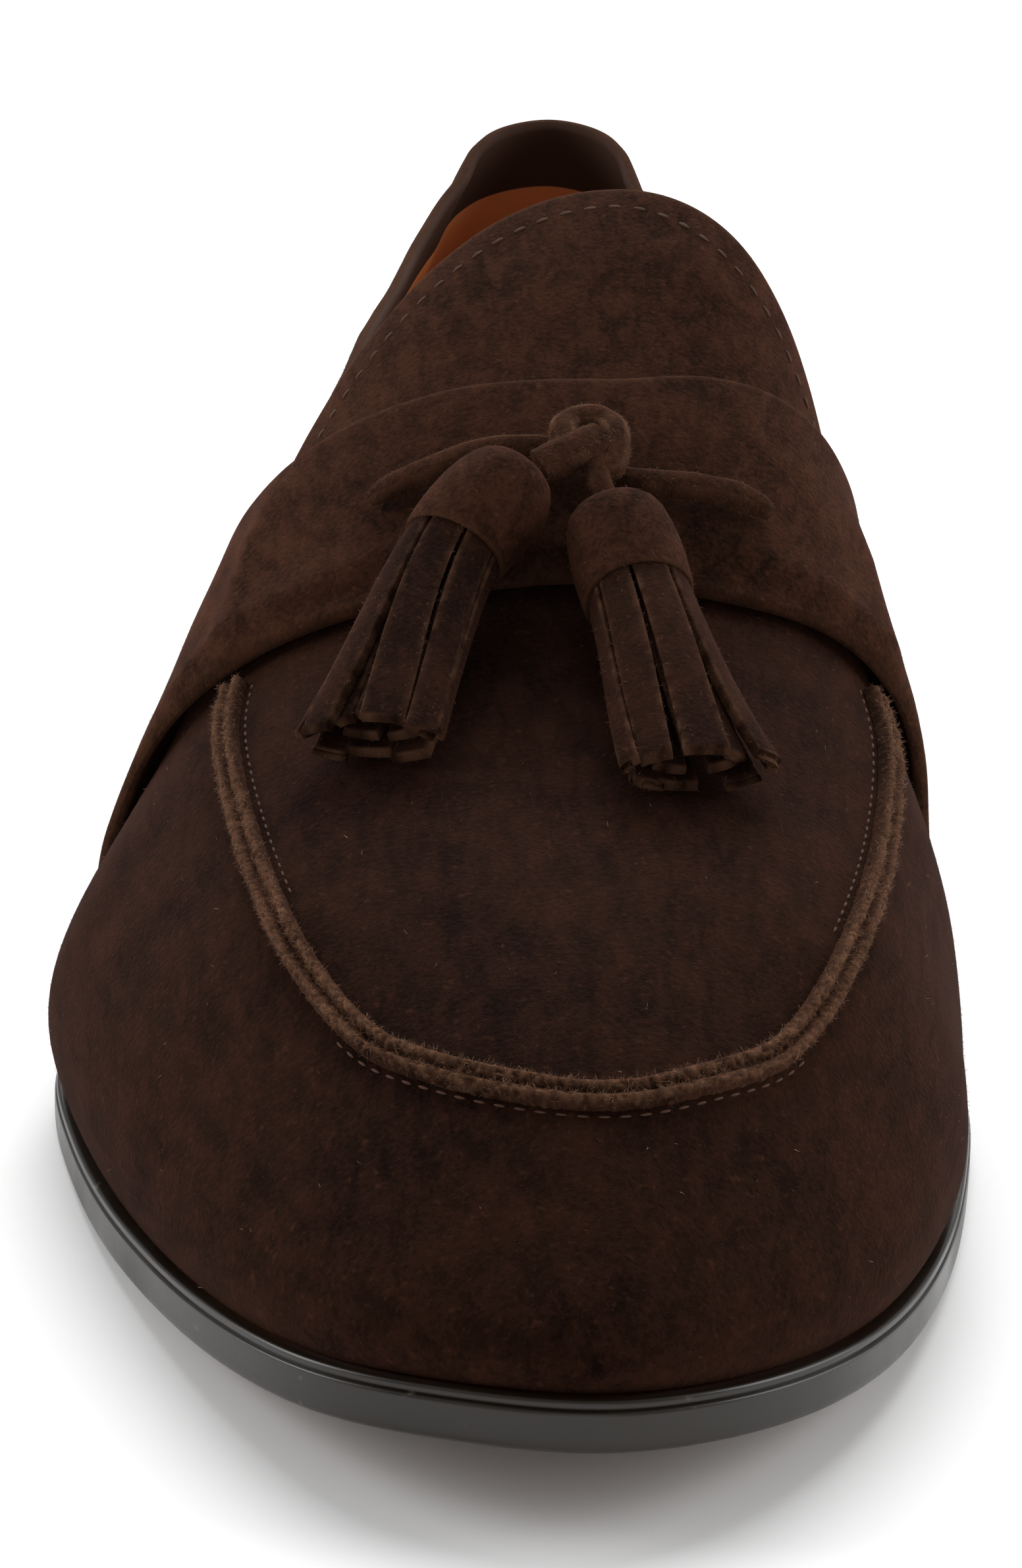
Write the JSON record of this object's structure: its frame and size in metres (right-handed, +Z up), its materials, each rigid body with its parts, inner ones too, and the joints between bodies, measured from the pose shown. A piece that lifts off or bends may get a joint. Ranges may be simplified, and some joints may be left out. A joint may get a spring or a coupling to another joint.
{
  "type": "tassel loafer",
  "caption": "Right-foot suede slip-on shoe with a raised apron seam, a saddle over the instep, and a laced pair of tassels on a low-heeled leather sole.",
  "frame": {"origin": "centre of the bounding box's base, on the ground under the middle of the shoe", "axes": "+Y from the toe to the heel, +X to the shoe's medial side, +Z up from the ground"},
  "size_m": [0.105, 0.298, 0.0975],
  "materials": {
    "suede": "dark brown suede with a short nap",
    "suede_edge": "dark brown suede with a raised, lighter nap",
    "sole_leather": "dark stained and polished leather",
    "lining_leather": "smooth tan leather"
  },
  "bodies": {
    "root": {"outsole": "sole_leather", "heel": "sole_leather", "insole": "lining_leather", "upper": "suede", "tongue": "suede", "saddle": "suede", "apron_seam": "suede_edge", "lace": "suede", "knot": "suede_edge", "tassel_left": "suede", "tassel_right": "suede"}
  },
  "joints": []
}
